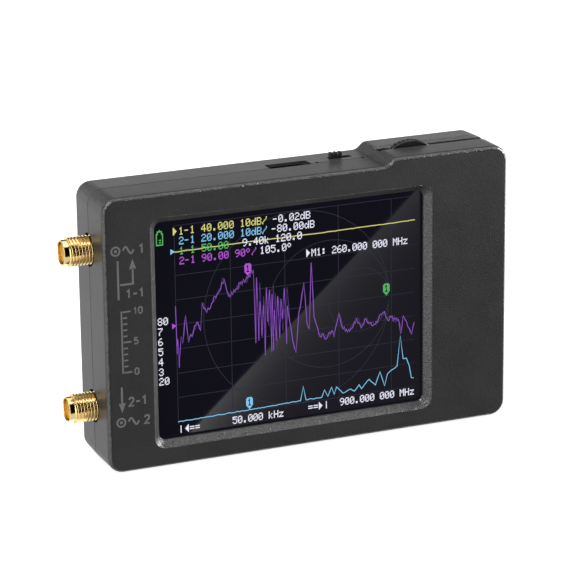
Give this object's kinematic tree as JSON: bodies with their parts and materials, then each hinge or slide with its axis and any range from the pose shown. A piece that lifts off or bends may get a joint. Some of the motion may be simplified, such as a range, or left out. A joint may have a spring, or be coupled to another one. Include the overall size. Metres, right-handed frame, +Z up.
{
  "type": "vector network analyzer",
  "caption": "Handheld vector network analyzer: flat two-shell case with a recessed touch screen, threaded coaxial ports on one end, a USB socket, a slide switch and a jog lever on top.",
  "frame": {"origin": "centre of the overall box at the plane the case stands on, with the coaxial ports counted in the box", "axes": "+Z up, screen faces -Y, +X to the right when looking at the screen, so the coaxial ports point along -X"},
  "size_m": [0.098, 0.0176, 0.0622],
  "materials": {
    "case_plastic": "fine-grained moulded ABS, very dark grey",
    "black_plastic": "smooth black moulding",
    "touch_glass": "polished, near-black when seen from outside",
    "screen_image": "backlit display layer with coloured traces on black",
    "foam": "closed-cell foam",
    "white_plastic": "satin",
    "ribbon_film": "amber film",
    "board_resin": "solder-masked laminate",
    "chip_epoxy": "matt epoxy",
    "steel": "satin",
    "gold_plating": "bright gold plating over brass",
    "ptfe": "waxy white",
    "battery_foil": "laminated pouch",
    "red_insulation": "satin",
    "black_insulation": "satin",
    "led_lens": "clear epoxy"
  },
  "bodies": {
    "case": {"front_shell": "case_plastic", "rear_shell": "case_plastic", "usb_socket_tongue": "black_plastic", "lever_switch_body": "black_plastic", "touch_panel": "touch_glass", "lcd_panel": "screen_image", "screen_gasket": "foam", "battery_pad": "foam", "backlight_tray": "white_plastic", "ribbon_connector": "white_plastic", "battery_socket": "white_plastic", "battery_plug": "white_plastic", "screen_ribbon": "ribbon_film", "main_board": "board_resin", "microcontroller": "chip_epoxy", "clock_generator": "chip_epoxy", "audio_codec": "chip_epoxy", "port_1_mixer": "chip_epoxy", "reference_mixer": "chip_epoxy", "port_2_mixer": "chip_epoxy", "charger_chip": "chip_epoxy", "power_inductor": "chip_epoxy", "case_screw_1": "steel", "case_screw_2": "steel", "case_screw_3": "steel", "case_screw_4": "steel", "reference_crystal": "steel", "rf_shield": "steel", "usb_socket_shell": "steel", "power_switch_body": "steel", "port_1_body": "gold_plating", "port_2_body": "gold_plating", "port_1_contact": "gold_plating", "port_2_contact": "gold_plating", "port_1_insulator": "ptfe", "port_2_insulator": "ptfe", "battery_cell": "battery_foil", "battery_lead_red": "red_insulation", "battery_lead_black": "black_insulation", "charge_led": "led_lens", "power_led": "led_lens"},
    "power_knob": {"power_switch_knob": "black_plastic"},
    "lever_carrier": {"lever_carrier": "white_plastic"},
    "lever": {"jog_lever": "black_plastic"}
  },
  "joints": [
    {"name": "power_slide", "type": "slide", "parent": "case", "child": "power_knob", "axis": [1, 0, 0], "range_m": [0, 0.002]},
    {"name": "lever_press", "type": "slide", "parent": "case", "child": "lever_carrier", "axis": [0, 0, -1], "range_m": [0, 0.0004], "stiffness_N_per_m": 2500},
    {"name": "lever_rock", "type": "hinge", "parent": "lever_carrier", "child": "lever", "pos_m": [0.02967, 0, 0.0546], "axis": [0, 1, 0], "range_deg": [-12, 12], "stiffness_Nm_per_rad": 0.03}
  ]
}
